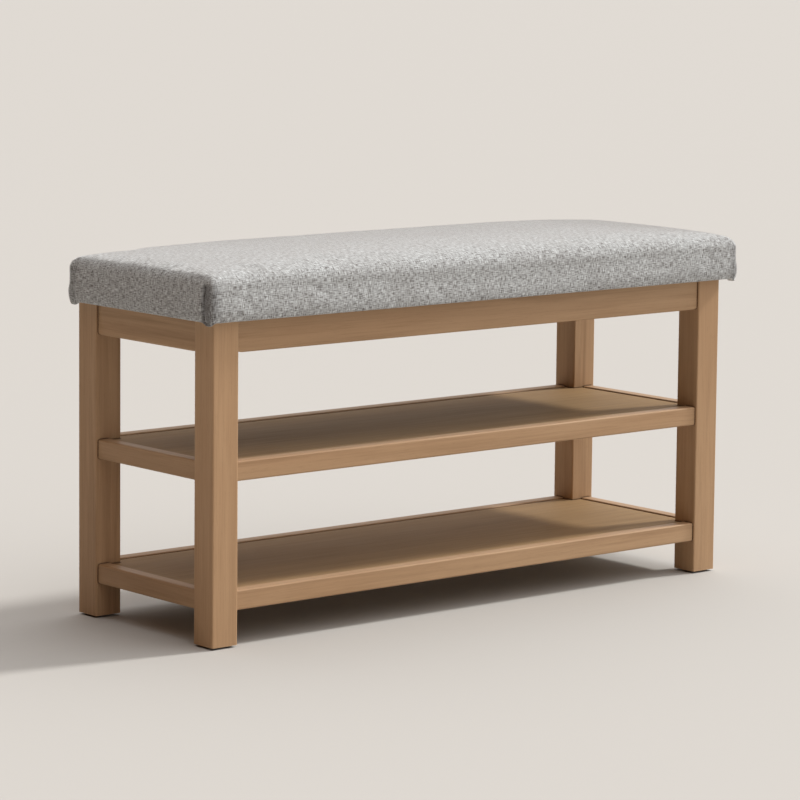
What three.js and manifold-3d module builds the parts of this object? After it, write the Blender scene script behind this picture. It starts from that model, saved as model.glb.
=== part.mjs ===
// Entryway bench with two shelves and an upholstered seat.
//
// Millimetres, +Z up. The origin is on the floor, under the middle of the bench.
// +X runs along the bench, to the right of a person who faces its front, and the front looks along -Y.
//
// Four legs are joined by three rings of rails: the aprons under the seat, and one ring round each shelf.
// Every rail is tenoned into the legs. Each shelf panel lies on two cleats screwed to its front and rear
// rails. Corner blocks stiffen the aprons, and a long screw goes up through each into the seat board.

import * as THREE from 'three';
import * as BufferGeometryUtils from 'three/addons/utils/BufferGeometryUtils.js';
import Module from 'manifold-3d';

const wasm = await Module();
wasm.setup();

// ---- Driving dimensions ----

const GAP = 0.3; // clearance between pieces that touch

const FRAME = { length: 938, depth: 310, rear: 165 }; // over the legs' outer faces; rear is their Y
const LEG = { side: 42, foot: 3, top: 440, arris: 2 };
const GLIDE = { radius: 13, height: 2.7, edge: 0.8, nailRadius: 1.5, nailLength: 13, nailTip: 3 };

const RAIL = { thickness: 20, setback: 3.5 }; // setback is from the legs' outer faces
const RINGS = {
  apron: { bottom: 396, top: 440, arris: 3, endCurve: { run: 12, rise: 4 } },
  mid_rail: { bottom: 223.5, top: 250.5, arris: 2.5, endCurve: { run: 2.5, rise: 2.5 } },
  low_rail: { bottom: 49, top: 76, arris: 2.5, endCurve: { run: 2.5, rise: 2.5 } },
};
const TENON = { thickness: 8, length: 20, shoulder: 5 };

const SHELVES = { mid: RINGS.mid_rail, low: RINGS.low_rail };
const PANEL = { thickness: 12, recess: 1.8, gap: 1.5, legGap: 0.5, arris: 0.6 };
const CLEAT = { height: 12, width: 15, endGap: 3, arris: 1 };
const CLEAT_SCREW_SPACING = 330;

// The corner blocks' plan is measured from the aprons' inner faces.
const BLOCK = { reach: 62, endFace: 14, bottom: 410, top: 440 };
const BLOCK_SCREW = { fromEnd: 10, seat: 12, wellRadius: 5 };
const SEAT_SCREW_OFFSET = 27;

const SEAT = { length: 978, depth: 330, bottom: 440.3, edgeTop: 503, radius: 18, planPower: 8 };
const CROWN = { height: 18, powerX: 5, powerY: 3 };
const COVER = { thickness: 1.5, lip: 35 };
const WADDING_THICKNESS = 4;
const BOARD_THICKNESS = 12;
const DUST_CLOTH = { thickness: 0.8, edgeGap: 0.5 };

const SCREWS = {
  cleat: { length: 26, shank: 1.8, head: 3.8, headHeight: 2.2 },
  block: { length: 23, shank: 2, head: 4, headHeight: 2.4 },
  seat: { length: 41, shank: 2.2, head: 4.6, headHeight: 2.8 },
};
const SCREW_TIP = 4;
const RECESS = { width: 1, depth: 1.2, reach: 0.6 }; // the cross in a head; reach is a share of its radius
const HOLE_PLAY = 0.4; // a hole's radius past that of what it holds

const SCREW_SIDES = 10;
const GLIDE_SIDES = 20;
const ARC_STEPS = 4;
const CUSHION_STEPS = [14, 10, 6];
const CREASE_ANGLE = Math.PI / 5; // faces that meet at less are shaded as one smooth surface

// ---- Materials ----

const material = (color, roughness, metalness = 0) =>
  new THREE.MeshStandardMaterial({ color, roughness, metalness });

const MATERIALS = {
  oak: material(0xa98a68, 0.5),
  plainWood: material(0xc3a57c, 0.7),
  plywood: material(0xcaaf86, 0.75),
  linen: material(0xb9b7b5, 0.95),
  foam: material(0xe9e2c8, 0.9),
  wadding: material(0xf2f1ec, 0.95),
  dustCloth: material(0x24221f, 0.95),
  steel: material(0x9c9a94, 0.4, 0.9),
  glide: material(0x2b2724, 0.6),
};

// ---- Solids ----

// A three.js geometry as a solid that can be joined and cut.
function solid(geometry) {
  const bare = geometry.clone();
  bare.deleteAttribute('normal');
  bare.deleteAttribute('uv');
  const merged = BufferGeometryUtils.mergeVertices(bare, 1e-4);
  return new wasm.Manifold(new wasm.Mesh({
    numProp: 3,
    vertProperties: new Float32Array(merged.attributes.position.array),
    triVerts: new Uint32Array(merged.index.array),
  }));
}

const cutAll = (piece, cutters) => cutters.reduce((rest, cutter) => rest.subtract(cutter), piece);

// A named piece in a group, in the group's own axes unless it is turned or moved.
function addPiece(group, name, piece, pieceMaterial) {
  const { vertProperties, triVerts } = piece.getMesh();
  const geometry = new THREE.BufferGeometry();
  geometry.setAttribute('position', new THREE.BufferAttribute(vertProperties, 3));
  geometry.setIndex(new THREE.BufferAttribute(triVerts, 1));
  const creased = BufferGeometryUtils.toCreasedNormals(geometry, CREASE_ANGLE);
  const mesh = new THREE.Mesh(creased, pieceMaterial);
  mesh.name = name;
  group.add(mesh);
  return mesh;
}

// A box between its lowest and highest corners.
function box(low, high) {
  const size = high.map((value, i) => value - low[i]);
  const geometry = new THREE.BoxGeometry(...size);
  return solid(geometry.translate(...low.map((value, i) => value + size[i] / 2)));
}

// The same box twice: as given, and with X and Y swapped.
const boxAndItsSwap = (low, high) => [
  box(low, high),
  box([low[1], low[0], low[2]], [high[1], high[0], high[2]]),
];

function roundedRectangle(x0, y0, x1, y1, radius) {
  const shape = new THREE.Shape();
  shape.absarc(x1 - radius, y0 + radius, radius, -Math.PI / 2, 0);
  shape.absarc(x1 - radius, y1 - radius, radius, 0, Math.PI / 2);
  shape.absarc(x0 + radius, y1 - radius, radius, Math.PI / 2, Math.PI);
  shape.absarc(x0 + radius, y0 + radius, radius, Math.PI, Math.PI * 1.5);
  return shape;
}

const extrude = (shape, depth) =>
  new THREE.ExtrudeGeometry(shape, { depth, bevelEnabled: false, curveSegments: ARC_STEPS });

// Directions that a hole or a screw can point in, as the turn that brings +Y there.
const POINTING = {
  up: new THREE.Euler(Math.PI / 2, 0, 0),
  minusX: new THREE.Euler(0, 0, Math.PI / 2),
  minusY: new THREE.Euler(Math.PI, 0, 0),
};

// A round hole's cutter: it starts a little before its starting point.
function hole(start, pointing, depth, radius) {
  const lead = 1;
  const geometry = new THREE.CylinderGeometry(radius, radius, depth + lead, SCREW_SIDES);
  geometry.translate(0, (depth - lead) / 2, 0);
  geometry.applyQuaternion(new THREE.Quaternion().setFromEuler(pointing));
  return solid(geometry.translate(...start));
}

// A pan-head wood screw along +Y, with the head's underside at the origin and a cross recess.
function screwSolid({ length, shank, head, headHeight }) {
  const profile = [
    [0, -headHeight], [head * 0.7, -headHeight], [head, -headHeight * 0.45], [head, 0],
    [shank, 0], [shank, length - SCREW_TIP], [0, length],
  ].map(([radius, y]) => new THREE.Vector2(radius, y));
  const reach = head * RECESS.reach;
  const side = RECESS.width / 2;
  const recess = [[reach, side], [side, reach]].map(([x, z]) =>
    box([-x, -headHeight - 1, -z], [x, RECESS.depth - headHeight, z]));
  return cutAll(solid(new THREE.LatheGeometry(profile, SCREW_SIDES)), recess);
}

const screwSolids = Object.fromEntries(
  Object.entries(SCREWS).map(([kind, size]) => [kind, screwSolid(size)]));

function addScrew(group, name, kind, start, pointing) {
  const mesh = addPiece(group, name, screwSolids[kind], MATERIALS.steel);
  mesh.position.set(...start);
  mesh.rotation.copy(pointing);
}

// ---- Legs, glides and corner blocks ----

const bench = new THREE.Group();

const outerX = FRAME.length / 2;
const frontY = FRAME.rear - FRAME.depth;
const middleY = FRAME.rear - FRAME.depth / 2;
const railInside = RAIL.setback + RAIL.thickness; // from a leg's outer face to a rail's inner face
const tenonFace = RAIL.setback + (RAIL.thickness - TENON.thickness) / 2;
const tenonReach = LEG.side - TENON.length;

const tenonHeights = (ring) => [ring.bottom + TENON.shoulder, ring.top - TENON.shoulder];

// A corner's axes start at the leg's outer corner and run inwards along both outer faces. All four
// corners are alike, each a quarter turn from the one before.
const CORNERS = [
  { name: 'front_left', x: -outerX, y: frontY },
  { name: 'front_right', x: outerX, y: frontY },
  { name: 'rear_right', x: outerX, y: FRAME.rear },
  { name: 'rear_left', x: -outerX, y: FRAME.rear },
];

function legSolid() {
  const stick = extrude(roundedRectangle(0, 0, LEG.side, LEG.side, LEG.arris), LEG.top - LEG.foot);
  const mortises = Object.values(RINGS).flatMap((ring) => {
    const [low, high] = tenonHeights(ring);
    return boxAndItsSwap(
      [tenonReach - GAP, tenonFace - GAP, low - GAP],
      [LEG.side + 1, tenonFace + TENON.thickness + GAP, high + GAP]);
  });
  const nailHole = hole(
    [LEG.side / 2, LEG.side / 2, LEG.foot], POINTING.up, GLIDE.nailLength, GLIDE.nailRadius + HOLE_PLAY);
  return cutAll(solid(stick.translate(0, 0, LEG.foot)), [...mortises, nailHole]);
}

// A flat disc under the leg, with a nail that goes up into it.
function glideSolid() {
  const nailTop = GLIDE.height + GLIDE.nailLength;
  const profile = [
    [0, 0], [GLIDE.radius - GLIDE.edge, 0], [GLIDE.radius, GLIDE.edge], [GLIDE.radius, GLIDE.height],
    [GLIDE.nailRadius, GLIDE.height], [GLIDE.nailRadius, nailTop - GLIDE.nailTip], [0, nailTop],
  ].map(([radius, y]) => new THREE.Vector2(radius, y));
  const geometry = new THREE.LatheGeometry(profile, GLIDE_SIDES).rotateX(Math.PI / 2);
  return solid(geometry.translate(LEG.side / 2, LEG.side / 2, 0));
}

const blockScrewX = railInside + BLOCK.reach - BLOCK_SCREW.fromEnd;
const blockScrewSeat = railInside + BLOCK_SCREW.seat;
const blockScrewZ = (BLOCK.bottom + BLOCK.top) / 2;
const seatScrewAt = railInside + SEAT_SCREW_OFFSET;

// A triangular block between two aprons, notched round the leg, with a well for each of its screws.
function blockSolid() {
  const near = railInside + GAP;
  const leg = LEG.side + GAP;
  const far = railInside + BLOCK.reach;
  const end = railInside + BLOCK.endFace;
  const outline = [[leg, near], [far, near], [far, end], [end, far], [near, far], [near, leg], [leg, leg]];
  const shape = new THREE.Shape(outline.map(([x, y]) => new THREE.Vector2(x, y)));
  const clearance = SCREWS.block.shank + HOLE_PLAY;
  const wellTop = railInside + BLOCK.reach;
  const wellDepth = wellTop - blockScrewSeat;
  return cutAll(solid(extrude(shape, BLOCK.top - BLOCK.bottom).translate(0, 0, BLOCK.bottom)), [
    hole([blockScrewX, wellTop, blockScrewZ], POINTING.minusY, wellTop, clearance),
    hole([blockScrewX, wellTop, blockScrewZ], POINTING.minusY, wellDepth, BLOCK_SCREW.wellRadius),
    hole([wellTop, blockScrewX, blockScrewZ], POINTING.minusX, wellTop, clearance),
    hole([wellTop, blockScrewX, blockScrewZ], POINTING.minusX, wellDepth, BLOCK_SCREW.wellRadius),
    hole([seatScrewAt, seatScrewAt, BLOCK.bottom], POINTING.up, BLOCK.top, SCREWS.seat.shank + HOLE_PLAY),
  ]);
}

const cornerSolids = { leg: legSolid(), glide: glideSolid(), block: blockSolid() };

CORNERS.forEach((corner, quarterTurns) => {
  const group = new THREE.Group();
  group.position.set(corner.x, corner.y, 0);
  group.rotation.z = quarterTurns * Math.PI / 2;
  bench.add(group);

  addPiece(group, `leg_${corner.name}`, cornerSolids.leg, MATERIALS.oak);
  addPiece(group, `foot_glide_${corner.name}`, cornerSolids.glide, MATERIALS.glide);
  addPiece(group, `corner_block_${corner.name}`, cornerSolids.block, MATERIALS.plainWood);

  const seatAt = blockScrewSeat + GAP;
  const screwName = `block_screw_${corner.name}`;
  addScrew(group, `${screwName}_a`, 'block', [blockScrewX, seatAt, blockScrewZ], POINTING.minusY);
  addScrew(group, `${screwName}_b`, 'block', [seatAt, blockScrewX, blockScrewZ], POINTING.minusX);
  addScrew(
    group, `seat_screw_${corner.name}`, 'seat', [seatScrewAt, seatScrewAt, BLOCK.bottom - GAP], POINTING.up);
});

// ---- Aprons, shelf rails and cleats ----

// A rail's axes have X along it from its middle and Y inwards from its outer face.
const SIDES = [
  { name: 'front', x: 0, y: frontY + RAIL.setback, turn: 0, span: FRAME.length },
  { name: 'right', x: outerX - RAIL.setback, y: middleY, turn: 1, span: FRAME.depth },
  { name: 'rear', x: 0, y: FRAME.rear - RAIL.setback, turn: 2, span: FRAME.length },
  { name: 'left', x: RAIL.setback - outerX, y: middleY, turn: 3, span: FRAME.depth },
];

// A rail's outline seen from outside, with its two lower corners curved up.
function railOutline(halfLength, { bottom, top, endCurve: { run, rise } }) {
  const shape = new THREE.Shape();
  shape.moveTo(-halfLength, top);
  shape.lineTo(-halfLength, bottom + rise);
  shape.absellipse(run - halfLength, bottom + rise, run, rise, Math.PI, Math.PI * 1.5);
  shape.absellipse(halfLength - run, bottom + rise, run, rise, Math.PI * 1.5, Math.PI * 2);
  shape.lineTo(halfLength, top);
  shape.closePath();
  return shape;
}

// A rail with eased long edges, curved lower corners, a tenon at both ends, and screw holes in its
// inner face.
function railSolid(span, ring, screwHoles) {
  const shoulder = span / 2 - LEG.side - GAP;
  const section = roundedRectangle(0, ring.bottom, RAIL.thickness, ring.top, ring.arris);
  const stick = extrude(section, shoulder * 2).rotateX(Math.PI / 2).rotateZ(Math.PI / 2);
  const outline = extrude(railOutline(shoulder, ring), RAIL.thickness).rotateX(Math.PI / 2);
  const body = solid(stick.translate(-shoulder, 0, 0))
    .intersect(solid(outline.translate(0, RAIL.thickness, 0)));
  const tenonEnd = span / 2 - tenonReach;
  const tenonY = tenonFace - RAIL.setback;
  const [low, high] = tenonHeights(ring);
  const tenons = box([-tenonEnd, tenonY, low], [tenonEnd, tenonY + TENON.thickness, high]);
  return cutAll(body.add(tenons), screwHoles);
}

// Where a shelf's panel and cleats lie.
const panelTop = (ring) => ring.top - PANEL.recess;
const cleatTop = (ring) => panelTop(ring) - PANEL.thickness - GAP;
const cleatScrewZ = (ring) => cleatTop(ring) - CLEAT.height / 2;
const CLEAT_SCREW_XS = [-CLEAT_SCREW_SPACING, 0, CLEAT_SCREW_SPACING];

// A pilot hole in a rail's inner face, as deep as the screw reaches, with a little to spare.
function pilotHole(x, z, kind, headAboveFace) {
  const depth = SCREWS[kind].length - headAboveFace + 1;
  return hole([x, RAIL.thickness, z], POINTING.minusY, depth, SCREWS[kind].shank + HOLE_PLAY);
}

function pilotHoles(ringName, side) {
  if (ringName === 'apron') {
    const x = side.span / 2 - blockScrewX;
    return [-x, x].map((at) => pilotHole(at, blockScrewZ, 'block', BLOCK_SCREW.seat + GAP));
  }
  if (side.span === FRAME.depth) return [];
  const z = cleatScrewZ(RINGS[ringName]);
  return CLEAT_SCREW_XS.map((x) => pilotHole(x, z, 'cleat', CLEAT.width + 2 * GAP));
}

// The cleat on a front or rear shelf rail, with its screws.
function addCleat(group, shelf, ring, side) {
  const halfLength = side.span / 2 - LEG.side - CLEAT.endGap;
  const nearY = RAIL.thickness + GAP;
  const top = cleatTop(ring);
  const section = roundedRectangle(nearY, top - CLEAT.height, nearY + CLEAT.width, top, CLEAT.arris);
  const stick = extrude(section, halfLength * 2).rotateX(Math.PI / 2).rotateZ(Math.PI / 2);
  const innerY = nearY + CLEAT.width;
  const z = cleatScrewZ(ring);
  const holes = CLEAT_SCREW_XS.map((x) =>
    hole([x, innerY, z], POINTING.minusY, CLEAT.width + 1, SCREWS.cleat.shank + HOLE_PLAY));
  const cleat = cutAll(solid(stick.translate(-halfLength, 0, 0)), holes);
  addPiece(group, `${shelf}_cleat_${side.name}`, cleat, MATERIALS.plainWood);
  CLEAT_SCREW_XS.forEach((x, i) => {
    const name = `${shelf}_cleat_screw_${side.name}_${i + 1}`;
    addScrew(group, name, 'cleat', [x, innerY + GAP, z], POINTING.minusY);
  });
}

for (const side of SIDES) {
  const group = new THREE.Group();
  group.position.set(side.x, side.y, 0);
  group.rotation.z = side.turn * Math.PI / 2;
  bench.add(group);

  for (const [ringName, ring] of Object.entries(RINGS)) {
    const rail = railSolid(side.span, ring, pilotHoles(ringName, side));
    addPiece(group, `${ringName}_${side.name}`, rail, MATERIALS.oak);
  }
  if (side.span === FRAME.length) {
    for (const [shelf, ring] of Object.entries(SHELVES)) addCleat(group, shelf, ring, side);
  }
}

// ---- Shelf panels ----

// A board that fills its ring of rails, notched round the four legs, with eased edges.
function panelSolid(ring) {
  const x = outerX - railInside - PANEL.gap;
  const y = FRAME.depth / 2 - railInside - PANEL.gap;
  const notchX = outerX - LEG.side - PANEL.legGap;
  const notchY = FRAME.depth / 2 - LEG.side - PANEL.legGap;
  const quarter = [[x, notchY], [notchX, notchY], [notchX, y]];
  const mirrored = quarter.map(([px, py]) => [-px, py]).reverse();
  const half = [...quarter, ...mirrored];
  const outline = [...half, ...half.map(([px, py]) => [-px, -py])];
  const shape = new THREE.Shape(outline.map(([px, py]) => new THREE.Vector2(px, py)));
  const geometry = new THREE.ExtrudeGeometry(shape, {
    depth: PANEL.thickness - 2 * PANEL.arris,
    bevelThickness: PANEL.arris,
    bevelSize: PANEL.arris,
    bevelOffset: -PANEL.arris,
    bevelSegments: 1,
  });
  return solid(geometry.translate(0, middleY, panelTop(ring) - PANEL.thickness + PANEL.arris));
}

for (const [shelf, ring] of Object.entries(SHELVES)) {
  addPiece(bench, `${shelf}_shelf_panel`, panelSolid(ring), MATERIALS.oak);
}

// ---- Seat ----

// The seat's crowned outer form, drawn in by an inset all round and cut off flat underneath. Its upper
// edges turn in a quarter circle, and its upright corners are much squarer than that.
function cushionForm(inset, bottom) {
  const radius = SEAT.radius - inset;
  const top = SEAT.edgeTop - inset;
  const low = SEAT.bottom - 2 * SEAT.radius + inset;
  const half = [SEAT.length / 2 - inset, SEAT.depth / 2 - inset, (top - low) / 2];
  const core = half.map((value) => value - radius);
  const geometry = new THREE.BoxGeometry(2, 2, 2, ...CUSHION_STEPS);
  const position = geometry.attributes.position;
  for (let i = 0; i < position.count; i += 1) {
    // Rows of vertices crowd towards the edges, where the form turns.
    const point = new THREE.Vector3().fromBufferAttribute(position, i).toArray()
      .map((value, axis) => half[axis] * Math.sin(value * Math.PI / 2));
    const inner = point.map((value, axis) => THREE.MathUtils.clamp(value, -core[axis], core[axis]));
    const [dx, dy, dz] = point.map((value, axis) => value - inner[axis]);
    const reach = Math.hypot((dx ** SEAT.planPower + dy ** SEAT.planPower) ** (1 / SEAT.planPower), dz);
    const [x, y, z] = [dx, dy, dz].map((value, axis) => inner[axis] + value * radius / reach);
    const crown = CROWN.height
      * (1 - Math.abs(x / half[0]) ** CROWN.powerX)
      * (1 - Math.abs(y / half[1]) ** CROWN.powerY);
    position.setXYZ(i, x, y, z + half[2] + low + crown * Math.max(z / half[2], 0));
  }
  const above = box([-SEAT.length, -SEAT.depth, bottom], [SEAT.length, SEAT.depth, 2 * SEAT.edgeTop]);
  return solid(geometry).intersect(above);
}

// A thin skin over the cushion form, open underneath.
const cushionSkin = (inset, thickness, bottom, innerBottom) =>
  cushionForm(inset, bottom).subtract(cushionForm(inset + thickness, innerBottom));

const coverFloor = SEAT.bottom + COVER.thickness;
const boardBottom = coverFloor + GAP;
const boardTop = boardBottom + BOARD_THICKNESS;
const waddingInset = COVER.thickness + GAP;
const coreInset = waddingInset + WADDING_THICKNESS + GAP;

const lipX = SEAT.length / 2 - COVER.lip;
const lipY = SEAT.depth / 2 - COVER.lip;
const lipOpening = box([-lipX, -lipY, SEAT.bottom - 1], [lipX, lipY, boardBottom]);
const cover = cushionSkin(0, COVER.thickness, SEAT.bottom, coverFloor).subtract(lipOpening);
addPiece(bench, 'seat_cover', cover, MATERIALS.linen);

const waddingSkin = cushionSkin(waddingInset, WADDING_THICKNESS, boardBottom, boardBottom - 1);
addPiece(bench, 'seat_wadding', waddingSkin, MATERIALS.wadding);
addPiece(bench, 'seat_foam', cushionForm(coreInset, boardTop + GAP), MATERIALS.foam);

// Places of the long screws that hold the seat, seen in plan.
const seatScrewPlaces = CORNERS.map(({ x, y }) => [
  x - Math.sign(x) * seatScrewAt,
  y - Math.sign(y) * seatScrewAt,
]);

function seatBoardSolid() {
  const slab = box([-SEAT.length, -SEAT.depth, boardBottom], [SEAT.length, SEAT.depth, boardTop]);
  const tip = BLOCK.bottom - GAP + SCREWS.seat.length;
  const holes = seatScrewPlaces.map(([hx, hy]) =>
    hole([hx, hy, boardBottom], POINTING.up, tip - boardBottom + 1, SCREWS.seat.shank + HOLE_PLAY));
  return cutAll(cushionForm(coreInset, boardBottom).intersect(slab), holes);
}

function dustCoverSolid() {
  const x = lipX - DUST_CLOTH.edgeGap;
  const y = lipY - DUST_CLOTH.edgeGap;
  const cloth = box([-x, -y, coverFloor - DUST_CLOTH.thickness], [x, y, coverFloor]);
  const holes = seatScrewPlaces.map(([hx, hy]) =>
    hole([hx, hy, SEAT.bottom], POINTING.up, BOARD_THICKNESS, SCREWS.seat.shank + HOLE_PLAY));
  return cutAll(cloth, holes);
}

addPiece(bench, 'seat_board', seatBoardSolid(), MATERIALS.plywood);
addPiece(bench, 'dust_cover', dustCoverSolid(), MATERIALS.dustCloth);

export default bench;
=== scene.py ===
import math

import bpy
import numpy as np
from mathutils import Matrix, Vector, noise


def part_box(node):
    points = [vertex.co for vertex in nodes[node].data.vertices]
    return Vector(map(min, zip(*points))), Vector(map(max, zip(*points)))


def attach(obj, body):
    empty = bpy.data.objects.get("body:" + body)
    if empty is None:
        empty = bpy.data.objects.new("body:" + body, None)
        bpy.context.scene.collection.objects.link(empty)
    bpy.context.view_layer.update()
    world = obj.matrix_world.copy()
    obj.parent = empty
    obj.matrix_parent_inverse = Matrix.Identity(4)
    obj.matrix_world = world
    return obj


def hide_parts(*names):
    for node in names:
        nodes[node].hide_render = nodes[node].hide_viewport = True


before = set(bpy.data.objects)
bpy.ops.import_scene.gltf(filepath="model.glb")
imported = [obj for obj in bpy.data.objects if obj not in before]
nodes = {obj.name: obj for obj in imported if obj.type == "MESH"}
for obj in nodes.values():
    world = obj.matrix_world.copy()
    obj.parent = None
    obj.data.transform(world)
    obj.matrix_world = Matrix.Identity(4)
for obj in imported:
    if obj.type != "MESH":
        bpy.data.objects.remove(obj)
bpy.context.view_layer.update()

MM = 0.001


# ---- Node trees ----

def new_material(name):
    """A new material with only a Principled shader in it: (material, tree, shader)."""
    material = bpy.data.materials.new(name)
    material.use_nodes = True
    tree = material.node_tree
    tree.nodes.clear()
    shader = tree.nodes.new("ShaderNodeBsdfPrincipled")
    output = tree.nodes.new("ShaderNodeOutputMaterial")
    tree.links.new(shader.outputs["BSDF"], output.inputs["Surface"])
    return material, tree, shader


def set_input(tree, socket, value):
    """Links a socket, or sets its constant."""
    if isinstance(value, bpy.types.NodeSocket):
        tree.links.new(value, socket)
    else:
        socket.default_value = value


def add(tree, kind, inputs=None, **settings):
    """A node with its settings, its constants and its incoming links."""
    node = tree.nodes.new(kind)
    for key, value in settings.items():
        setattr(node, key, value)
    for key, value in (inputs or {}).items():
        set_input(tree, node.inputs[key], value)
    return node


def math_node(tree, operation, first, second=0.0):
    return add(tree, "ShaderNodeMath", {0: first, 1: second}, operation=operation).outputs[0]


def noise_node(tree, vector, scale=1.0, detail=2.0, roughness=0.5, distortion=0.0):
    inputs = {"Vector": vector, "Scale": scale, "Detail": detail,
              "Roughness": roughness, "Distortion": distortion}
    return add(tree, "ShaderNodeTexNoise", inputs).outputs["Fac"]


def weighted_sum(tree, *terms):
    """The sum of (value, weight) terms."""
    total = None
    for value, weight in terms:
        part = math_node(tree, "MULTIPLY", value, weight)
        total = part if total is None else math_node(tree, "ADD", total, part)
    return total


def mesh_attribute(tree, name):
    return add(tree, "ShaderNodeAttribute", attribute_type="GEOMETRY", attribute_name=name)


def remap(tree, value, low, high, to_low=0.0, to_high=1.0):
    inputs = {"Value": value, "From Min": low, "From Max": high, "To Min": to_low, "To Max": to_high}
    return add(tree, "ShaderNodeMapRange", inputs).outputs["Result"]


def mix_colour(tree, share, first, second):
    """The first colour where the share is 0, and the second where it is 1."""
    node = add(tree, "ShaderNodeMix", {"Factor": share}, data_type="RGBA")
    for name, value in (("A", first), ("B", second)):
        socket = next(s for s in node.inputs if s.name == name and s.type == "RGBA")
        set_input(tree, socket, value)
    return next(s for s in node.outputs if s.type == "RGBA")


def stretched(tree, vector, scale, location=(0, 0, 0)):
    """A vector scaled on each axis, for a pattern that runs along one."""
    inputs = {"Vector": vector, "Scale": scale, "Location": location}
    return add(tree, "ShaderNodeMapping", inputs, vector_type="POINT").outputs["Vector"]


def roughen(tree, shader, height, strength, distance):
    """Fine relief on a surface, as bump."""
    bump = add(tree, "ShaderNodeBump", {"Strength": strength, "Distance": distance, "Height": height})
    tree.links.new(bump.outputs["Normal"], shader.inputs["Normal"])


def linear(red, green, blue):
    """A colour given as 0-255 display values, in scene-linear."""
    def channel(value):
        value /= 255
        return value / 12.92 if value <= 0.04045 else ((value + 0.055) / 1.055) ** 2.4
    return (channel(red), channel(green), channel(blue), 1.0)


# ---- Wood ----

AXES = {"x": 0, "y": 1, "z": 2}
BOARD_SPREAD = 13.7
# Width of the lightened arrises, partly wear and partly painted highlight.
WORN_AND_HIGHLIGHT_WIDTH = 1.6 * MM
# Painted shade in the gaps between pieces: how far the occlusion looks, and the dark colour it paints.
GAP_SHADE_REACH = 4 * MM
PAINTED_GAP_SHADE = linear(38, 24, 14)


def shifted_coordinates(tree):
    """Row-frame coordinates in metres, moved by each board's own number so no two boards match."""
    place = add(tree, "ShaderNodeTexCoord").outputs["Object"]
    board = add(tree, "ShaderNodeAttribute", attribute_type="OBJECT", attribute_name="board").outputs["Fac"]
    step = math_node(tree, "MULTIPLY", board, BOARD_SPREAD)
    shift = add(tree, "ShaderNodeCombineXYZ", {"X": step, "Y": 3.7, "Z": 1.9}).outputs[0]
    moved = add(tree, "ShaderNodeVectorMath", {0: place, 1: shift}, operation="ADD").outputs[0]
    return moved, board


def grain_scale(axis, along, across):
    """Noise cells per metre, few along the grain and many across it."""
    scale = [across, across, across]
    scale[AXES[axis]] = along
    return scale


def edge_wear_and_highlight(tree, radius):
    """Near 1 at an edge, and 0 away from one: where the arrises are lightened, partly as wear and partly as a
    painted highlight.
    """
    bevel = add(tree, "ShaderNodeBevel", {"Radius": radius}, samples=4)
    true_normal = add(tree, "ShaderNodeNewGeometry").outputs["Normal"]
    dot = add(tree, "ShaderNodeVectorMath", {0: bevel.outputs[0], 1: true_normal},
              operation="DOT_PRODUCT").outputs["Value"]
    return remap(tree, dot, 0.995, 0.8)


def painted_gap_shade_mask(tree, reach):
    """Near 1 where other surfaces close in, as in a gap between two pieces, and 0 on an open face: a mask for
    painted shade.
    """
    occlusion = add(tree, "ShaderNodeAmbientOcclusion", {"Distance": reach}, samples=8)
    return remap(tree, occlusion.outputs["AO"], 0.78, 0.52)


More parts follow.
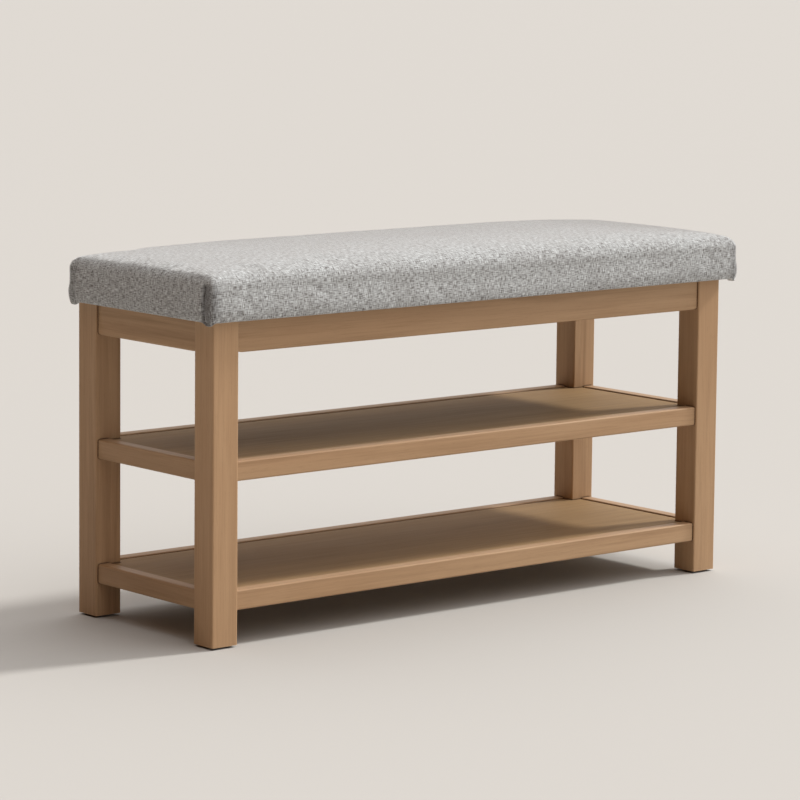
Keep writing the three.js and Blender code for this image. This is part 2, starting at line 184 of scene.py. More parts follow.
def wood(name, axis, base, dark, light, roughness, gloss=0.3, pore=0.5, worn_and_highlight=None):
    """Timber with its grain along one axis: broad tone, growth rings, fine pores, edges lightened partly as
    wear and partly as painted highlight, and painted shade in the gaps between pieces.
    """
    material, tree, shader = new_material(name)
    place, board = shifted_coordinates(tree)
    broad = noise_node(tree, stretched(tree, place, grain_scale(axis, 1.6, 9)), 1, 3, 0.55)
    warp = noise_node(tree, stretched(tree, place, grain_scale(axis, 2.2, 14)), 1, 2, 0.5)
    rings = noise_node(tree, stretched(tree, place, grain_scale(axis, 3.0, 95)), 1, 4, 0.6, 0.6)
    streaks = noise_node(tree, stretched(tree, place, grain_scale(axis, 9, 420)), 1, 3, 0.6)
    pores = noise_node(tree, stretched(tree, place, grain_scale(axis, 48, 1500)), 1, 2, 0.7)

    tone = remap(tree, broad, 0.3, 0.7)
    colour = mix_colour(tree, tone, base, light)
    ring_depth = remap(tree, warp, 0.3, 0.7, 0.10, 0.42)
    ring_share = math_node(tree, "MULTIPLY", remap(tree, rings, 0.42, 0.72), ring_depth)
    colour = mix_colour(tree, ring_share, colour, dark)
    streak_share = remap(tree, streaks, 0.5, 0.75, 0.0, 0.22)
    colour = mix_colour(tree, streak_share, colour, dark)
    pore_share = remap(tree, pores, 0.6, 0.74, 0.0, pore)
    colour = mix_colour(tree, pore_share, colour, dark)
    board_tone = remap(tree, board, 0.0, 1.0, 0.93, 1.06)
    colour = add(tree, "ShaderNodeHueSaturation", {"Value": board_tone, "Color": colour}).outputs["Color"]
    # Arrises lightened: partly wear, partly a painted highlight where light catches the rounded edges.
    if worn_and_highlight:
        edge = edge_wear_and_highlight(tree, WORN_AND_HIGHLIGHT_WIDTH)
        patch = noise_node(tree, stretched(tree, place, grain_scale(axis, 22, 90)), 1, 3, 0.6)
        share = math_node(tree, "MULTIPLY", edge, remap(tree, patch, 0.3, 0.65, 0.25, 0.75))
        colour = mix_colour(tree, share, colour, worn_and_highlight)
    # Painted shade: darkens the colour where nearby pieces close in round a gap.
    gap_shade_share = math_node(tree, "MULTIPLY", painted_gap_shade_mask(tree, GAP_SHADE_REACH), 0.9)
    colour = mix_colour(tree, gap_shade_share, colour, PAINTED_GAP_SHADE)
    tree.links.new(colour, shader.inputs["Base Color"])
    varied = remap(tree, streaks, 0.3, 0.7, roughness - 0.05, roughness + 0.08)
    tree.links.new(varied, shader.inputs["Roughness"])
    shader.inputs["IOR"].default_value = 1.45
    shader.inputs["Specular IOR Level"].default_value = gloss

    pore_depth = math_node(tree, "MULTIPLY", pores, -0.6)
    streak_depth = math_node(tree, "MULTIPLY", streaks, -0.4)
    roughen(tree, shader, math_node(tree, "ADD", pore_depth, streak_depth), 0.35, 0.25 * MM)
    return material


OAK = dict(base=linear(175, 140, 106), dark=linear(124, 91, 60), light=linear(189, 156, 122),
           roughness=0.46, gloss=0.2, pore=0.35, worn_and_highlight=linear(208, 178, 142))
oak = {axis: wood(f"oak_along_{axis}", axis, **OAK) for axis in AXES}
SHELF_OAK = dict(base=linear(149, 121, 87), dark=linear(108, 83, 55), light=linear(162, 134, 99),
                 roughness=0.62, gloss=0.1, pore=0.35, worn_and_highlight=linear(190, 162, 128))
shelf_oak = wood("oak_shelf_panel", "x", **SHELF_OAK)
PLAIN = dict(base=linear(205, 176, 134), dark=linear(160, 124, 84), light=linear(216, 190, 150),
             roughness=0.62, pore=0.2)
plain = {axis: wood(f"plain_wood_along_{axis}", axis, **PLAIN) for axis in AXES}
PLY_THICKNESS = 1.5 * MM


def plywood():
    """Birch plywood: grain on the faces, and plies as bands of light and dark on the edges."""
    material, tree, shader = new_material("birch_plywood")
    place, _ = shifted_coordinates(tree)
    height = add(tree, "ShaderNodeSeparateXYZ", {"Vector": place}).outputs["Z"]
    ply = math_node(tree, "SINE", math_node(tree, "MULTIPLY", height, math.pi / PLY_THICKNESS))
    grain = noise_node(tree, stretched(tree, place, (6, 260, 260)), 1, 3, 0.6)
    grain_share = remap(tree, grain, 0.35, 0.7)
    colour = mix_colour(tree, grain_share, linear(214, 188, 146), linear(188, 156, 112))
    colour = mix_colour(tree, remap(tree, ply, -0.2, 0.4, 0.0, 0.35), colour, linear(150, 112, 72))
    tree.links.new(colour, shader.inputs["Base Color"])
    tree.links.new(remap(tree, grain, 0.3, 0.7, 0.6, 0.8), shader.inputs["Roughness"])
    roughen(tree, shader, grain, 0.3, 0.2 * MM)
    return material


# ---- Metal, plastic and cloth ----

def zinc_steel():
    """Bright zinc plate with a faint mottle and fine scratches."""
    material, tree, shader = new_material("zinc_plated_steel")
    place, _ = shifted_coordinates(tree)
    mottle = noise_node(tree, place, 900, 3, 0.6)
    scratches = noise_node(tree, stretched(tree, place, (4000, 900, 300)), 1, 2, 0.6)
    mottle_share = remap(tree, mottle, 0.35, 0.7)
    colour = mix_colour(tree, mottle_share, linear(172, 172, 168), linear(205, 204, 198))
    tree.links.new(colour, shader.inputs["Base Color"])
    shader.inputs["Metallic"].default_value = 1.0
    tree.links.new(remap(tree, scratches, 0.3, 0.7, 0.28, 0.5), shader.inputs["Roughness"])
    roughen(tree, shader, scratches, 0.15, 0.05 * MM)
    return material


def moulded_plastic():
    """Dark, finely textured plastic with paler scuffs."""
    material, tree, shader = new_material("moulded_glide_plastic")
    place, _ = shifted_coordinates(tree)
    grit = noise_node(tree, place, 2400, 3, 0.7)
    scuffs = noise_node(tree, place, 140, 4, 0.65)
    scuff_share = remap(tree, scuffs, 0.5, 0.75, 0.0, 0.6)
    colour = mix_colour(tree, scuff_share, linear(43, 38, 35), linear(92, 86, 80))
    tree.links.new(colour, shader.inputs["Base Color"])
    tree.links.new(remap(tree, grit, 0.3, 0.7, 0.5, 0.72), shader.inputs["Roughness"])
    roughen(tree, shader, grit, 0.3, 0.08 * MM)
    return material


THREAD_PITCH = 0.8 * MM
YARN_WIDTH = 1.0 * MM
SLUB_LENGTH = 8.5 * MM
DARK_YARN, LIGHT_YARN = linear(100, 96, 94), linear(213, 217, 218)
# Faded yarn is the cloth's own random tone; the second colour is painted shade for the folds.
FADED_YARN, PAINTED_FOLD_SHADE = linear(128, 120, 116), linear(52, 46, 46)


def linen():
    """A heathered plain weave of light and dark slubbed threads, laid out by the cloth attribute, with
    painted shade darkening the pleats' folds.
    """
    material, tree, shader = new_material("heathered_linen")
    cloth = mesh_attribute(tree, "cloth").outputs["Vector"]
    fold_shade_share = mesh_attribute(tree, "painted_fold_shade").outputs["Fac"]
    fine, long = 1 / YARN_WIDTH, 1 / SLUB_LENGTH
    fleck = fine * 0.8
    warp = noise_node(tree, stretched(tree, cloth, (fine, long, 1)), 1, 1, 0.5)
    weft = noise_node(tree, stretched(tree, cloth, (long, fine, 1), (7.3, 2.1, 0)), 1, 1, 0.5)
    flecks = noise_node(tree, stretched(tree, cloth, (fleck, fleck, 1), (3.1, 9.4, 0)), 1, 2, 0.6)
    broad = noise_node(tree, cloth, 16, 3, 0.55)
    parts = add(tree, "ShaderNodeSeparateXYZ", {"Vector": cloth}).outputs
    across, along = (math_node(tree, "SINE", math_node(tree, "MULTIPLY", parts[axis], math.pi / THREAD_PITCH))
                     for axis in "XY")
    crossing = math_node(tree, "MULTIPLY", across, along)
    over = remap(tree, crossing, -0.35, 0.35)

    thread = add(tree, "ShaderNodeMix", {0: over, 2: warp, 3: weft}, data_type="FLOAT").outputs[0]
    lines = math_node(tree, "MULTIPLY", math_node(tree, "ADD", warp, weft), 0.5)
    mixed = weighted_sum(tree, (thread, 0.27), (lines, 0.65), (flecks, 0.08))
    colour = mix_colour(tree, remap(tree, mixed, 0.375, 0.625), DARK_YARN, LIGHT_YARN)
    colour = mix_colour(tree, remap(tree, broad, 0.38, 0.66, 0.0, 0.12), colour, FADED_YARN)
    # Painted shade: darkens the cloth in the pleats' grooves, over their recessed strips and round the
    # corners.
    colour = mix_colour(tree, math_node(tree, "MULTIPLY", fold_shade_share, 0.75), colour, PAINTED_FOLD_SHADE)
    tree.links.new(colour, shader.inputs["Base Color"])
    tree.links.new(remap(tree, flecks, 0.3, 0.7, 0.85, 0.98), shader.inputs["Roughness"])
    shader.inputs["Specular IOR Level"].default_value = 0.2
    shader.inputs["Sheen Weight"].default_value = 1.0
    shader.inputs["Sheen Roughness"].default_value = 0.3

    ridge = math_node(tree, "ABSOLUTE", crossing)
    roughen(tree, shader, weighted_sum(tree, (ridge, 0.5), (mixed, 1.0)), 0.4, 0.16 * MM)
    return material


def nonwoven():
    """Black spun cloth with a fine embossed dimple pattern."""
    material, tree, shader = new_material("nonwoven_dust_cloth")
    place = add(tree, "ShaderNodeTexCoord").outputs["Object"]
    fibres = noise_node(tree, place, 700, 4, 0.7, 0.8)
    dots = add(tree, "ShaderNodeTexVoronoi", {"Vector": place, "Scale": 620, "Randomness": 0.1})
    colour = mix_colour(tree, remap(tree, fibres, 0.35, 0.7), linear(30, 28, 26), linear(58, 55, 52))
    tree.links.new(colour, shader.inputs["Base Color"])
    tree.links.new(remap(tree, fibres, 0.3, 0.7, 0.85, 0.98), shader.inputs["Roughness"])
    roughen(tree, shader, dots.outputs["Distance"], 0.4, 0.15 * MM)
    return material


# ---- Materials on the CAD nodes ----

steel = zinc_steel()
plastic = moulded_plastic()
ply = plywood()


def grain_axis(name):
    """A piece's longest side, which its grain runs along."""
    low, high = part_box(name)
    return "xyz"[max(range(3), key=lambda axis: high[axis] - low[axis])]


def material_of(name):
    if "screw" in name:
        return steel
    if name.startswith("foot_glide"):
        return plastic
    if name == "seat_board":
        return ply
    if "cleat" in name or name.startswith("corner_block"):
        return plain[grain_axis(name)]
    if name.endswith("shelf_panel"):
        return shelf_oak
    return oak[grain_axis(name)]


GOLDEN_SHARE = 0.61803

for number, name in enumerate(sorted(nodes)):
    node = nodes[name]
    node["board"] = (number * GOLDEN_SHARE) % 1.0
    even = node.modifiers.new("flat_faces_keep_their_normals", "WEIGHTED_NORMAL")
    even.keep_sharp = True
    even.weight = 100
    for material_slot in node.material_slots:
        material_slot.link = "OBJECT"
        material_slot.material = material_of(name)


# ---- Meshes ----

def placed(thing):
    bpy.context.scene.collection.objects.link(thing)
    return thing


def mesh_object(name, points, faces, material=None):
    mesh = bpy.data.meshes.new(name)
    mesh.from_pydata([tuple(p) for p in points], [], [tuple(int(n) for n in f) for f in faces])
    mesh.validate()
    if material:
        mesh.materials.append(material)
    return placed(bpy.data.objects.new(name, mesh))


def smooth_shaded(piece):
    polygons = piece.data.polygons
    polygons.foreach_set("use_smooth", np.ones(len(polygons), bool))


def quads_between(lower, upper):
    """Quads joining two closed rings of as many vertices."""
    return np.stack([lower, np.roll(lower, -1), np.roll(upper, -1), upper], axis=1)


def grid_quads(numbers):
    """The quads of a grid of vertex numbers."""
    corners = [numbers[:-1, :-1], numbers[1:, :-1], numbers[1:, 1:], numbers[:-1, 1:]]
    return np.stack(corners, axis=-1).reshape(-1, 4)


# ---- The seat cushion's form ----

cover_low, cover_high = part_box("seat_cover")
HALF_X = (cover_high.x - cover_low.x) / 2
HALF_Y = (cover_high.y - cover_low.y) / 2
MIDDLE = Vector(((cover_high.x + cover_low.x) / 2, (cover_high.y + cover_low.y) / 2))
BOTTOM = cover_low.z
RADIUS = 18 * MM
EDGE_DROP = 18 * MM
CROWN = 18.3 * MM
CROWN_POWERS = (4.86, 3.0)
PLAN_POWER = 8
TUCK = 3.4 * MM
HOLLOW = 1.6 * MM
HOLLOW_SPAN = 52 * MM
EDGE_TOP = cover_high.z - EDGE_DROP
CORE = (HALF_X - RADIUS, HALF_Y - RADIUS, EDGE_TOP - RADIUS)
WIDEST_Z = BOTTOM + 15 * MM
RIM_Z = BOTTOM + 0.9 * MM


def arc_steps(spacing):
    """Lattice places past the core, even in angle over half of the rounded edge."""
    count = max(2, round(RADIUS * math.pi / 4 / spacing)) + 1
    return RADIUS * np.tan(np.linspace(0, math.pi / 4, count))[1:]


def axis_steps(core, spacing, extra=()):
    """Lattice places along one side: even up to the core, then even in angle round the edge."""
    middle = np.linspace(-core, core, max(2, round(2 * core / spacing)) + 1)
    arc = arc_steps(spacing)
    places = np.concatenate([-(core + arc)[::-1], middle, core + arc])
    return np.unique(np.round(np.concatenate([places, extra]), 7))


def rise_steps(spacing):
    """Lattice places from the cushion's lower rim to its top."""
    straight = np.linspace(RIM_Z, CORE[2], round((CORE[2] - RIM_Z) / spacing) + 1)
    return np.concatenate([straight, CORE[2] + arc_steps(spacing)])


def lean(z):
    """How far the sides stand in from their widest line: tucked in below it, and slightly hollow above."""
    below = np.clip((WIDEST_Z - z) / (WIDEST_Z - BOTTOM), 0, 1.4)
    above = np.clip((z - WIDEST_Z) / HOLLOW_SPAN, 0, 1)
    return TUCK * below ** 2 + HOLLOW * np.sin(above * math.pi) ** 1.5


def form(x, y, z, inset=0.0):
    """Points of the box between lattice planes, as points of the cushion."""
    inner_x, inner_y = np.clip(x, -CORE[0], CORE[0]), np.clip(y, -CORE[1], CORE[1])
    inner_z = np.minimum(z, CORE[2])
    dx, dy, dz = x - inner_x, y - inner_y, z - inner_z
    plan = (np.abs(dx) ** PLAN_POWER + np.abs(dy) ** PLAN_POWER) ** (1 / PLAN_POWER)
    reach = np.maximum(np.sqrt(plan ** 2 + dz ** 2), 1e-9)
    radius = RADIUS - inset
    px, py = inner_x + dx * radius / reach, inner_y + dy * radius / reach
    pz = inner_z + dz * radius / reach
    side = lean(pz) * plan / reach
    px, py = px - side * dx / np.maximum(plan, 1e-9), py - side * dy / np.maximum(plan, 1e-9)
    lift = np.clip((pz - WIDEST_Z) / (EDGE_TOP - WIDEST_Z), 0, 1)
    along = 1 - np.abs(px / HALF_X) ** CROWN_POWERS[0]
    across = 1 - np.abs(py / HALF_Y) ** CROWN_POWERS[1]
    return px, py, pz + CROWN * along * across * lift


class Lattice:
    """The top and four sides of a box as grids that share their edges, with a vertex for each node."""

    def __init__(self, xs, ys, zs):
        self.xs, self.ys, self.zs = xs, ys, zs
        self.numbers = {}
        self.places = []
        self.quads = []
        self.faces = []
        self.grids = {}
        last_x, last_y, last_z = len(xs) - 1, len(ys) - 1, len(zs) - 1
        self.last = (last_x, last_y, last_z)
        self.grid("top", xs, ys, lambda a, b: (a, b, last_z), False)
        self.grid("front", xs, zs, lambda a, b: (a, 0, b), False)
        self.grid("rear", xs, zs, lambda a, b: (a, last_y, b), True)
        self.grid("left", ys, zs, lambda a, b: (0, a, b), True)
        self.grid("right", ys, zs, lambda a, b: (last_x, a, b), False)

    def vertex(self, key):
        if key not in self.numbers:
            self.numbers[key] = len(self.places)
            self.places.append((self.xs[key[0]], self.ys[key[1]], self.zs[key[2]]))
        return self.numbers[key]

    def grid(self, face, first, second, key, flip):
        rows = [[self.vertex(key(a, b)) for b in range(len(second))] for a in range(len(first))]
        numbers = np.array(rows)
        self.grids[face] = (numbers, first, second)
        quads = grid_quads(numbers)
        self.quads.append(quads[:, ::-1] if flip else quads)
        self.faces += [face] * len(quads)

    def rim(self):
        """The numbers of the lowest ring of vertices, counter-clockwise from above."""
        last_x, last_y, _ = self.last
        ring = [(i, 0, 0) for i in range(last_x)]
        ring += [(last_x, j, 0) for j in range(last_y)]
        ring += [(i, last_y, 0) for i in range(last_x, 0, -1)]
        ring += [(0, j, 0) for j in range(last_y, 0, -1)]
        return [self.numbers[key] for key in ring]


def between(steps, places):
    """For each place, the step below it and its share of the way to the next."""
    index = np.clip(np.searchsorted(steps, places, "right") - 1, 0, len(steps) - 2)
    return index, np.clip((places - steps[index]) / (steps[index + 1] - steps[index]), 0, 1)


def carried_over(coarse, values, fine):
    """Values at a coarse lattice's vertices, interpolated at a finer one's."""
    result = np.zeros((len(fine.places), 3))
    for face, (numbers, first, second) in fine.grids.items():
        coarse_numbers, coarse_first, coarse_second = coarse.grids[face]
        known = values[coarse_numbers]
        i, s = between(coarse_first, first)
        j, t = between(coarse_second, second)
        s, t = s[:, None, None], t[None, :, None]
        low = known[i][:, j] * (1 - t) + known[i][:, j + 1] * t
        high = known[i + 1][:, j] * (1 - t) + known[i + 1][:, j + 1] * t
        result[numbers] = low * (1 - s) + high * s
    return result


# ---- Cloth simulation ----

SIM_FRAMES = 20
SIM_PRESSURE = 1.5
SIM_SPACING, SIM_RISE_SPACING = 8 * MM, 6 * MM
SIM_INSET = 4 * MM
SIM_CAP = 9 * MM
SLACK_SHARE = 0.35
SLACK = 0.012
SMOOTHING_ROUNDS = 40


def settled_cloth(lattice):
    """How far a slightly slack cover moves over its padding at each vertex, its lower edge held."""
    start = np.stack(form(*np.array(lattice.places).T, SIM_INSET), axis=1)
    ring = lattice.rim()
    quads = np.concatenate(lattice.quads)
    blank = mesh_object("cover_blank", start, list(quads) + [ring[::-1]])
    held = blank.vertex_groups.new(name="held")
    held.add(ring, 1.0, "REPLACE")
    cloth = blank.modifiers.new("cloth", "CLOTH")
    settings = cloth.settings
    settings.quality = 6
    settings.mass = 0.4
    settings.tension_stiffness = 12
    settings.compression_stiffness = 12
    settings.bending_stiffness = 0.15
    settings.shrink_min = -SLACK
    settings.use_pressure = True
    settings.uniform_pressure_force = SIM_PRESSURE
    settings.effector_weights.gravity = 0
    settings.vertex_group_mass = held.name
    cloth.point_cache.frame_start = 1
    cloth.point_cache.frame_end = SIM_FRAMES
    scene = bpy.context.scene
    for number in range(1, SIM_FRAMES + 1):
        scene.frame_set(number)
    settled = blank.evaluated_get(bpy.context.evaluated_depsgraph_get()).to_mesh()
    after = np.zeros(len(start) * 3, np.float32)
    settled.vertices.foreach_get("co", after)
    moved = after.reshape(-1, 3) - start
    length = np.linalg.norm(moved, axis=1, keepdims=True)
    moved *= np.minimum(1, SIM_CAP / np.maximum(length, 1e-9))
    mesh = blank.data
    bpy.data.objects.remove(blank)
    bpy.data.meshes.remove(mesh)
    scene.frame_set(1)
    return moved


def smoothed(lattice, values, rounds):
    """The values averaged with their neighbours' along the lattice's edges, over and over."""
    quads = np.concatenate(lattice.quads)
    sides = np.concatenate([quads[:, [corner, (corner + 1) % 4]] for corner in range(4)])
    edges = np.unique(np.sort(sides, axis=1), axis=0)
    count = np.zeros(len(values))
    np.add.at(count, edges.ravel(), 1)
    for _ in range(rounds):
        total = np.zeros_like(values)
        np.add.at(total, edges[:, 0], values[edges[:, 1]])
        np.add.at(total, edges[:, 1], values[edges[:, 0]])
        values = 0.5 * values + 0.5 * total / count[:, None]
    return values


def slack(fine):
    """The small hollows and pulls of the settled cover, without the swelling of the whole."""
    coarse = Lattice(axis_steps(CORE[0], SIM_SPACING), axis_steps(CORE[1], SIM_SPACING),
                     rise_steps(SIM_RISE_SPACING))
    moved = settled_cloth(coarse)
    detail = SLACK_SHARE * (moved - smoothed(coarse, moved, SMOOTHING_ROUNDS))
    return carried_over(coarse, detail, fine)


# ---- Details of the cover: pleats, folds and small ripples, and painted shade in the folds ----

SEAM_BACK = 21 * MM
PLEAT_TOP = EDGE_TOP - 9 * MM
PLEAT_DEPTH = 3.0 * MM
GROOVE_DEPTH = 2.2 * MM
SWELL_HEIGHT = 0.8 * MM
REAR_SHARE = 0.4
TIP_DROP = 4.6 * MM


def smooth(value, low, high):
    """0 at low and 1 at high, eased at both ends. High may be the smaller."""
    t = np.clip((value - low) / (high - low), 0, 1)
    return t * t * (3 - 2 * t)


def noise_at(points, scale, offset):
    """Gradient noise at each point, about -1 to 1."""
    shift = Vector((offset, offset * 0.37, -offset))
    return np.array([noise.noise(Vector(p) * scale + shift) for p in points])


def add_pleats(points):
    """
    Takes the front and rear cloth round each corner and under a fold in the end's cloth, and gives a mask of
    painted shade from 0 to 1: darkest in the groove, over the recessed strip and where the cloth turns round
    the corner.
    """
    from_end, from_side = HALF_X - np.abs(points[:, 0]), HALF_Y - np.abs(points[:, 1])
    on_end = smooth(from_end, 9 * MM, 3 * MM)
    height = smooth(points[:, 2], PLEAT_TOP, PLEAT_TOP - 6 * MM)
    wobble = SEAM_BACK + 0.25 * MM * np.sin(points[:, 2] / (9 * MM) + points[:, 0] * 3)
    strip = smooth(from_side, wobble + 0.3 * MM, wobble - 0.5 * MM) * smooth(from_side, 2 * MM, 19 * MM)
    pinch = 1 + 0.5 * np.exp(-((points[:, 2] - PLEAT_TOP + 8 * MM) / (7 * MM)) ** 2)
    groove = np.exp(-((from_side - wobble + 0.9 * MM) / (1.3 * MM)) ** 2)
    swell = np.exp(-((from_side - wobble - 4 * MM) / (3.6 * MM)) ** 2)
    depth = (PLEAT_DEPTH * strip * pinch + GROOVE_DEPTH * groove - SWELL_HEIGHT * swell) * height * on_end
    share = np.where(points[:, 1] < 0, 1.0, REAR_SHARE)
    points[:, 0] -= np.sign(points[:, 0]) * depth * share
    from_end = HALF_X - np.abs(points[:, 0])
    # Painted shade: the mask darkens the groove and the recessed strip beside it.
    shade = smooth(from_side, wobble + 0.3 * MM, wobble - 0.5 * MM) * smooth(from_side, 1 * MM, 9 * MM)
    # Painted shade where the cloth turns round each corner.
    turn = 0.6 * smooth(from_end, 22 * MM, 3 * MM) * smooth(from_side, 6 * MM, 2 * MM) * height
    return np.maximum(np.maximum(0.85 * groove, 0.8 * shade) * height * on_end, turn) * share


def add_tips(points):
    """The folded cloth hangs a little lower at each corner, outside the legs."""
    from_end, from_side = HALF_X - np.abs(points[:, 0]), HALF_Y - np.abs(points[:, 1])
    corner = smooth(from_side, 26 * MM, 14 * MM) * smooth(from_end, 12 * MM, 3 * MM)
    low = smooth(points[:, 2], BOTTOM + 14 * MM, BOTTOM)
    points[:, 2] -= TIP_DROP * corner * low


def add_ripples(points):
    """Cloth pulled under the frame: shallow ripples that fade upwards, and a slightly uneven top."""
    side = np.maximum(smooth(np.abs(points[:, 0]), HALF_X - 12 * MM, HALF_X - 4 * MM),
                      smooth(np.abs(points[:, 1]), HALF_Y - 12 * MM, HALF_Y - 4 * MM))
    low = smooth(points[:, 2], BOTTOM + 34 * MM, BOTTOM + 3 * MM)
    pull = noise_at(points * (1, 1, 0.3), 34, 3.1)
    fine = noise_at(points * (1, 1, 0.35), 90, 8.3)
    out = side * (0.7 * low * pull + 0.25 * low * fine) * MM
    wave = noise_at(points, 11, 1.7)
    dimple = noise_at(points, 26, 5.9)
    out += (0.55 * wave + 0.3 * dimple) * MM
    away = points - np.array([0, 0, BOTTOM + 20 * MM])
    outward = np.stack([np.sign(away[:, 0]) * smooth(np.abs(away[:, 0]), HALF_X - RADIUS, HALF_X),
                        np.sign(away[:, 1]) * smooth(np.abs(away[:, 1]), HALF_Y - RADIUS, HALF_Y),
                        smooth(away[:, 2], 25 * MM, 45 * MM)], axis=1)
    outward /= np.maximum(np.linalg.norm(outward, axis=1, keepdims=True), 0.6)
    points += outward * out[:, None]


def cloth_coordinates(lattice, quads, faces):
    """Where each face corner lies in the flat cloth, in metres. Pleated strips follow the long sides."""
    places = np.array(lattice.places)
    core = np.array(CORE[:2])
    plan = places[:, :2]
    beyond = np.maximum(np.abs(plan) - core, 0)
    unrolled = np.sign(plan) * (np.minimum(np.abs(plan), core) + RADIUS * np.arctan(beyond / RADIUS))
    turn = RADIUS * (math.pi / 2 - np.arctan(np.maximum(places[:, 2] - CORE[2], 0) / RADIUS))
    drop = turn + np.maximum(CORE[2] - places[:, 2], 0)
    values = np.zeros((len(quads), 4, 3))
    names = np.array(faces)
    for face in ("top", "front", "rear", "left", "right"):
        chosen = names == face
        corners = quads[chosen]
        u, v = unrolled[corners, 0], unrolled[corners, 1]
        if face in ("front", "rear"):
            v = np.sign(plan[corners, 1]) * (core[1] + drop[corners])
        if face in ("left", "right"):
            middle = np.abs(places[corners, 1]).mean(axis=1, keepdims=True)
            wrapped = np.broadcast_to(middle > HALF_Y - SEAM_BACK, u.shape)
            sign_x, sign_y = np.sign(plan[corners, 0]), np.sign(plan[corners, 1])
            round_corner = sign_x * (core[0] + RADIUS + HALF_Y - np.abs(plan[corners, 1]))
            hanging = sign_x * (core[0] + drop[corners])
            u = np.where(wrapped, round_corner, hanging)
            v = np.where(wrapped, sign_y * (core[1] + drop[corners]), v)
        values[chosen] = np.stack([u, v, np.zeros_like(u)], axis=-1)
    return values


SEAM_LINES = [SEAM_BACK + offset * MM for offset in (-2.4, -1.2, -0.6, 0.0, 0.6, 1.2, 2.4, 3.8)]
SPACING, RISE_SPACING = 3.6 * MM, 2.6 * MM
BOARD_GAP = 0.3 * MM
BOARD_INSET = 5.8 * MM
LIP_INSET = 24 * MM
UNDER_SHIFT = 0.4


def flat_ring(rim_places, inset, z):
    """A level ring that follows the cushion's widest outline, so far inside it."""
    x, y, _ = form(rim_places[:, 0], rim_places[:, 1], np.full(len(rim_places), WIDEST_Z), inset)
    return np.stack([x, y, np.full(len(rim_places), z)], axis=1)


def opening_ring(rim_places, z):
    """A level ring round the opening in the turned-under cloth, clear of the dust cover."""
    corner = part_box("dust_cover")[1]
    ring_points = flat_ring(rim_places, LIP_INSET, z)
    ring_points[:, 0] *= (corner.x + 0.5 * MM) / (HALF_X - LIP_INSET)
    ring_points[:, 1] *= (corner.y + 0.5 * MM) / (HALF_Y - LIP_INSET)
    return ring_points


def under_rings(rim_places):
    """The rings from the rim under the lip to its opening, and back inside it over the seat board."""
    board_low, board_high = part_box("seat_board")
    lip_top, board_top = board_low.z - BOARD_GAP, board_high.z + BOARD_GAP
    turned = [(4.4 * MM, 0.35 * MM), (5.2 * MM, 0.05 * MM), (8 * MM, 0), (13 * MM, 0), (19 * MM, 0)]
    under = [flat_ring(rim_places, inset, BOTTOM + rise) for inset, rise in turned]
    for ring_points in under:
        add_tips(ring_points)
    inside = [flat_ring(rim_places, BOARD_INSET, z) for z in (lip_top, board_top)]
    return under + [opening_ring(rim_places, z) for z in (BOTTOM, lip_top)] + inside


def build_cushion():
    """The whole cushion: its shaped top and sides, the turned-under lip, and the face on the board."""
    seam_places = [sign * (HALF_Y - back) for sign in (-1, 1) for back in SEAM_LINES]
    lattice = Lattice(axis_steps(CORE[0], SPACING), axis_steps(CORE[1], SPACING, seam_places),
                      rise_steps(RISE_SPACING))
    quads = np.concatenate(lattice.quads)
    coordinates = cloth_coordinates(lattice, quads, lattice.faces)
    points = np.stack(form(*np.array(lattice.places).T), axis=1)
    points += slack(lattice)
    add_ripples(points)
    painted_fold_shade = add_pleats(points)
    add_tips(points)

    last_ring = np.array(lattice.rim())
    under_quads = []
    all_points = [points]
    count = len(points)
    for ring_points in under_rings(np.array(lattice.places)[last_ring]):
        ring = np.arange(count, count + len(last_ring))
        all_points.append(ring_points)
        under_quads.append(quads_between(last_ring, ring)[:, ::-1])
        count += len(ring)
        last_ring = ring
    points = np.concatenate(all_points)
    points[:, :2] += np.array(MIDDLE)
    under_quads = np.concatenate(under_quads)
    cap = last_ring[::-1]
    piece = mesh_object("seat_cushion", points, list(quads) + list(under_quads) + [cap], linen())

    under_coordinates = points[under_quads].reshape(-1, 3) + (0, UNDER_SHIFT, 0)
    values = np.concatenate([coordinates.reshape(-1, 3), under_coordinates, points[cap]])
    values[-len(under_coordinates) - len(cap):, 2] = 0
    attribute = piece.data.attributes.new("cloth", "FLOAT_VECTOR", "CORNER")
    attribute.data.foreach_set("vector", values.astype(np.float32).ravel())
    # Painted shade of the folds, kept on each vertex for the cloth's material.
    painted_fold_shade = np.concatenate([painted_fold_shade, np.zeros(count - len(painted_fold_shade))])
    fold_shade_layer = piece.data.attributes.new("painted_fold_shade", "FLOAT", "POINT")
    fold_shade_layer.data.foreach_set("value", painted_fold_shade.astype(np.float32))
    smooth_shaded(piece)
    return piece


cushion = build_cushion()
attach(cushion, "root")
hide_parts("seat_cover", "seat_wadding", "seat_foam")


# ---- Dust cloth under the seat ----

CLOTH_THICKNESS = 0.35 * MM


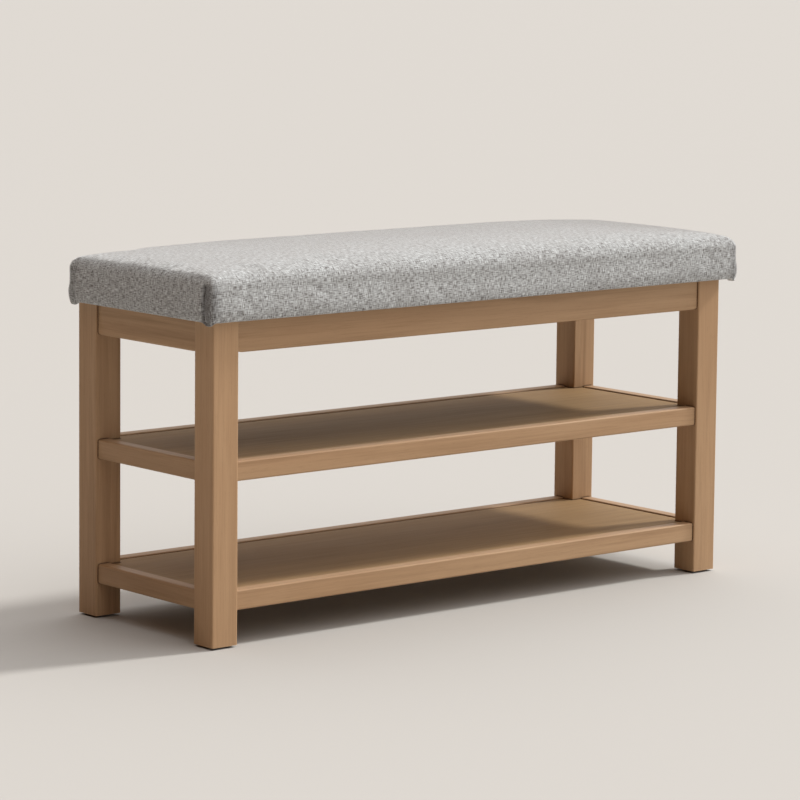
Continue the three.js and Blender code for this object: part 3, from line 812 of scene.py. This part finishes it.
def build_dust_cloth():
    """A thin stretched cloth with a slight sag, and its flat size."""
    low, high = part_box("dust_cover")
    columns, rows = 130, 38
    xs, ys = np.linspace(low.x, high.x, columns), np.linspace(low.y, high.y, rows)
    grid_x, grid_y = np.meshgrid(xs, ys, indexing="ij")
    flat = np.stack([grid_x.ravel(), grid_y.ravel(), np.zeros(columns * rows)], axis=1)
    edge = np.minimum(1 - np.abs(2 * (flat[:, 0] - low.x) / (high.x - low.x) - 1),
                      1 - np.abs(2 * (flat[:, 1] - low.y) / (high.y - low.y) - 1))
    sag = smooth(edge, 0, 0.25) * (0.25 + 0.2 * noise_at(flat, 14, 2.2)) * MM
    flat[:, 2] = high.z - sag
    under = flat - np.array([0, 0, CLOTH_THICKNESS])
    index = np.arange(columns * rows).reshape(columns, rows)
    quads = grid_quads(index)
    border = np.concatenate([index[:, 0], index[-1, 1:], index[-2::-1, -1], index[0, -2:0:-1]])
    walls = quads_between(border, border + len(flat))[:, ::-1]
    faces = np.concatenate([quads, quads[:, ::-1] + len(flat), walls])
    piece = mesh_object("dust_cloth", np.concatenate([flat, under]), faces, nonwoven())
    smooth_shaded(piece)
    return piece, (high.x - low.x, high.y - low.y)


dust_cloth, dust_size = build_dust_cloth()
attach(dust_cloth, "root")
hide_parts("dust_cover")


# ---- Floor, light and camera ----

def floor_material():
    material, _, shader = new_material("pale_floor")
    shader.inputs["Base Color"].default_value = (0.505, 0.49, 0.467, 1)
    shader.inputs["Roughness"].default_value = 0.9
    shader.inputs["Specular IOR Level"].default_value = 0.1
    return material


FLOOR_REACH = 30
floor_corners = [(x * FLOOR_REACH, y * FLOOR_REACH, 0) for x, y in ((-1, -1), (1, -1), (1, 1), (-1, 1))]
floor = mesh_object("floor", floor_corners, [(0, 1, 2, 3)], floor_material())

SUN_FROM = Vector((1.26, -0.24, 1.0))
sun_data = bpy.data.lights.new("sun", "SUN")
sun_data.energy = 2.5
sun_data.angle = math.radians(7)
sun_data.color = (1.0, 0.985, 0.955)
sun = placed(bpy.data.objects.new("sun", sun_data))
sun.rotation_mode = "QUATERNION"
sun.rotation_quaternion = SUN_FROM.to_track_quat("Z", "Y")

BRIGHTENS_TOWARDS = (0.74, -0.20, 1.28)
LIGHT_AT_LEVEL = 0.185
LEAST_LIGHT = 0.04


def soft_surroundings():
    """Even pale light, stronger from the front and right and dim on the left, before a pale backdrop."""
    world = bpy.data.worlds.new("studio")
    world.use_nodes = True
    tree = world.node_tree
    tree.nodes.clear()
    direction = add(tree, "ShaderNodeTexCoord").outputs["Generated"]
    towards = add(tree, "ShaderNodeVectorMath", {0: direction, 1: BRIGHTENS_TOWARDS}, operation="DOT_PRODUCT")
    strength = math_node(tree, "ADD", towards.outputs["Value"], LIGHT_AT_LEVEL)
    sideways = add(tree, "ShaderNodeSeparateXYZ", {"Vector": direction}).outputs["X"]
    strength = math_node(tree, "MULTIPLY", strength, remap(tree, sideways, -0.75, 0.05, 0.5, 1.0))
    strength = math_node(tree, "MAXIMUM", strength, LEAST_LIGHT)
    tint = mix_colour(tree, remap(tree, strength, 0.1, 0.8), (1.0, 0.46, 0.15, 1), (1.0, 0.99, 0.98, 1))
    light = add(tree, "ShaderNodeBackground", {"Color": tint, "Strength": strength})
    backdrop = add(tree, "ShaderNodeBackground", {"Color": linear(226, 221, 213), "Strength": 1.0})
    ray = add(tree, "ShaderNodeLightPath").outputs["Is Camera Ray"]
    mixed = add(tree, "ShaderNodeMixShader", {0: ray, 1: light.outputs[0], 2: backdrop.outputs[0]})
    output = add(tree, "ShaderNodeOutputWorld")
    tree.links.new(mixed.outputs[0], output.inputs["Surface"])
    bpy.context.scene.world = world


soft_surroundings()
bpy.context.scene.view_settings.view_transform = "Standard"

CAMERA_AT = Vector((-3.251508, -3.838541, 1.000301))
YAW, PITCH, ROLL = 0.698575, -0.113885, 0.010023
LENS = 159.22

forward = Vector((math.sin(YAW) * math.cos(PITCH), math.cos(YAW) * math.cos(PITCH), math.sin(PITCH)))
level = Vector((math.cos(YAW), -math.sin(YAW), 0))
upward = level.cross(forward)
right = math.cos(ROLL) * level + math.sin(ROLL) * upward
above = math.cos(ROLL) * upward - math.sin(ROLL) * level

camera_data = bpy.data.cameras.new("camera")
camera_data.sensor_width = 36
camera_data.lens = LENS
camera_data.shift_y = -0.125
camera = placed(bpy.data.objects.new("camera", camera_data))
axes = Matrix((right, above, -forward)).transposed().to_4x4()
camera.matrix_world = Matrix.Translation(CAMERA_AT) @ axes
bpy.context.scene.camera = camera
